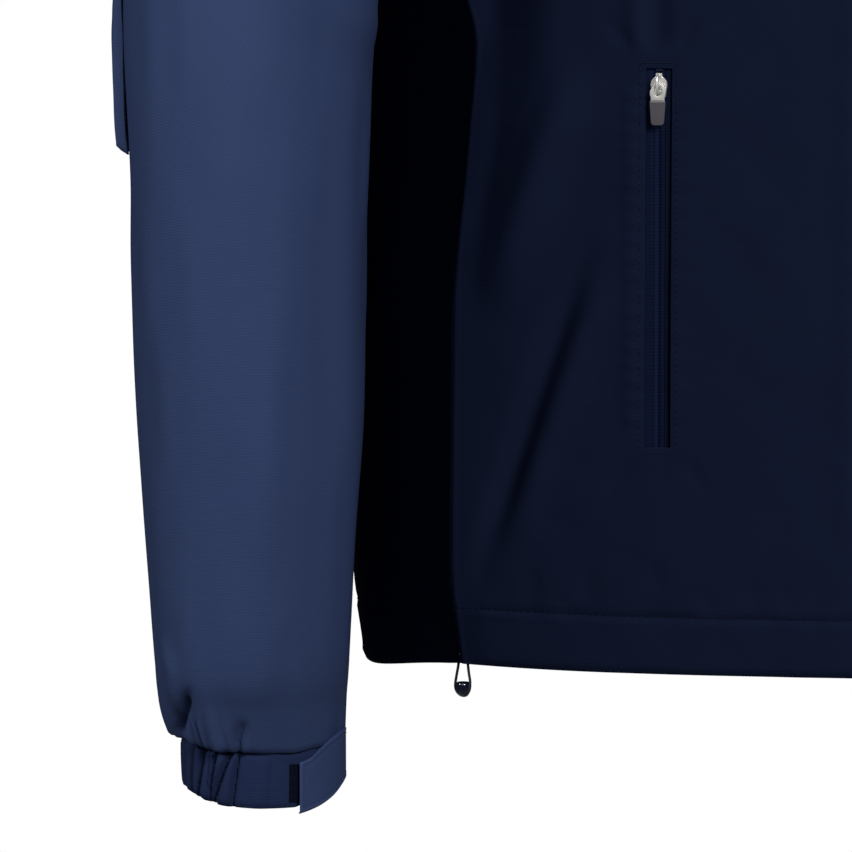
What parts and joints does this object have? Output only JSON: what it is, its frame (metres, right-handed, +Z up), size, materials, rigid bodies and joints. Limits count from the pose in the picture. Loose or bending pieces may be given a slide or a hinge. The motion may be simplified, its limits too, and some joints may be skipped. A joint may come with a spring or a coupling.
{
  "type": "foul weather jacket",
  "caption": "Foul weather jacket with a high collar, full front zip, zipped hand pockets, hem cord and strap-adjusted cuffs, in two navy tones.",
  "frame": {"origin": "middle of the underside of the hang loop's bridge, inside the back of the neck", "axes": "+Z up the back of the jacket as it hangs, -Y out of the front, +X to the wearer's left"},
  "size_m": [0.7643, 0.2314, 0.821],
  "materials": {
    "shell_dark": "dark navy coated ripstop weave, matt with a faint sheen",
    "shell_sleeve": "navy coated weave, matt",
    "lining": "brushed knit",
    "zip_tape": "woven polyester tape",
    "zip_teeth": "moulded, satin",
    "slider_metal": "bright nickel plate",
    "pull_grip": "matt grey moulded grip",
    "cord": "braided elastic cord",
    "cord_end": "glossy dark navy",
    "hook_and_loop": "looped pile",
    "elastic": "woven elastic"
  },
  "bodies": {
    "jacket": {"right_front_panel": "shell_dark", "right_front_zip_tape": "zip_tape", "right_front_zip_teeth": "zip_teeth", "right_hem_cord_loop": "cord", "right_pocket_tape_front": "zip_tape", "right_pocket_tape_side": "zip_tape", "right_pocket_zip_coil": "zip_teeth", "right_pocket_bag": "lining", "left_front_panel": "shell_dark", "left_front_zip_tape": "zip_tape", "left_front_zip_teeth": "zip_teeth", "left_hem_cord_loop": "cord", "left_pocket_tape_front": "zip_tape", "left_pocket_tape_side": "zip_tape", "left_pocket_zip_coil": "zip_teeth", "left_pocket_bag": "lining", "back_panel": "shell_dark", "body_lining": "lining", "collar_outer": "shell_dark", "collar_lining": "lining", "stowed_hood": "shell_dark", "neck_facing": "shell_dark", "hang_loop": "zip_tape", "front_zip_pin_box": "zip_teeth", "inner_storm_flap": "shell_dark", "chin_guard": "lining", "hem_tunnel": "shell_dark", "hem_drawcord": "cord"},
    "front_slider": {"front_zip_slider": "slider_metal"},
    "front_pull": {"front_zip_pull": "pull_grip"},
    "right_arm": {"right_sleeve": "shell_sleeve", "right_cuff_band": "shell_sleeve", "right_cuff_elastic": "elastic", "right_cuff_loop_patch": "hook_and_loop", "right_sleeve_pocket": "shell_sleeve"},
    "right_tab": {"right_cuff_tab": "shell_sleeve", "right_cuff_hook_patch": "hook_and_loop"},
    "right_pocket_slide_body": {"right_pocket_slider": "slider_metal"},
    "right_pocket_pull_body": {"right_pocket_pull": "pull_grip"},
    "right_cord_end": {"right_hem_cord_end": "cord_end"},
    "left_arm": {"left_sleeve": "shell_sleeve", "left_cuff_band": "shell_sleeve", "left_cuff_elastic": "elastic", "left_cuff_loop_patch": "hook_and_loop"},
    "left_tab": {"left_cuff_tab": "shell_sleeve", "left_cuff_hook_patch": "hook_and_loop"},
    "left_pocket_slide_body": {"left_pocket_slider": "slider_metal"},
    "left_pocket_pull_body": {"left_pocket_pull": "pull_grip"},
    "left_cord_end": {"left_hem_cord_end": "cord_end"},
    "pocket_flap": {"right_sleeve_pocket_flap": "shell_sleeve"}
  },
  "joints": [
    {"name": "front_zip_slide", "type": "slide", "parent": "jacket", "child": "front_slider", "axis": [0, 0, -1], "range_m": [0, 0.64]},
    {"name": "front_pull_swing", "type": "hinge", "parent": "front_slider", "child": "front_pull", "pos_m": [0, -0.1432, 0.0142], "axis": [-1, 0, 0], "range_deg": [0, 150]},
    {"name": "right_pocket_zip_slide", "type": "slide", "parent": "jacket", "child": "right_pocket_slide_body", "axis": [0, -0.0017, -1], "range_m": [0, 0.165]},
    {"name": "right_pocket_pull_swing", "type": "hinge", "parent": "right_pocket_slide_body", "child": "right_pocket_pull_body", "pos_m": [-0.11576, -0.13565, -0.3672], "axis": [-0.9903, 0.1392, 0], "range_deg": [0, 140]},
    {"name": "right_sleeve_lift", "type": "hinge", "parent": "jacket", "child": "right_arm", "pos_m": [-0.222, -0.0475, -0.012], "axis": [0, 1, 0], "range_deg": [0, 50]},
    {"name": "right_cuff_tab_open", "type": "hinge", "parent": "right_arm", "child": "right_tab", "pos_m": [-0.27186, -0.07838, -0.707], "axis": [0, 0, 1], "range_deg": [0, 110]},
    {"name": "right_hem_cord_pull", "type": "slide", "parent": "jacket", "child": "right_cord_end", "axis": [0, 0, -1], "range_m": [0, 0.04], "stiffness_N_per_m": 30, "deforming": ["right_hem_cord_loop"]},
    {"name": "left_pocket_zip_slide", "type": "slide", "parent": "jacket", "child": "left_pocket_slide_body", "axis": [0, -0.0017, -1], "range_m": [0, 0.165]},
    {"name": "left_pocket_pull_swing", "type": "hinge", "parent": "left_pocket_slide_body", "child": "left_pocket_pull_body", "pos_m": [0.11576, -0.13565, -0.3672], "axis": [-0.9903, -0.1392, 0], "range_deg": [0, 140]},
    {"name": "left_sleeve_lift", "type": "hinge", "parent": "jacket", "child": "left_arm", "pos_m": [0.222, -0.0475, -0.012], "axis": [0, -1, 0], "range_deg": [0, 50]},
    {"name": "left_cuff_tab_open", "type": "hinge", "parent": "left_arm", "child": "left_tab", "pos_m": [0.27186, -0.07838, -0.707], "axis": [0, 0, -1], "range_deg": [0, 110]},
    {"name": "left_hem_cord_pull", "type": "slide", "parent": "jacket", "child": "left_cord_end", "axis": [0, 0, -1], "range_m": [0, 0.04], "stiffness_N_per_m": 30, "deforming": ["left_hem_cord_loop"]},
    {"name": "sleeve_pocket_flap_lift", "type": "hinge", "parent": "right_arm", "child": "pocket_flap", "pos_m": [-0.37995, -0.06135, -0.24338], "axis": [0, 1, 0], "range_deg": [0, 140]}
  ]
}
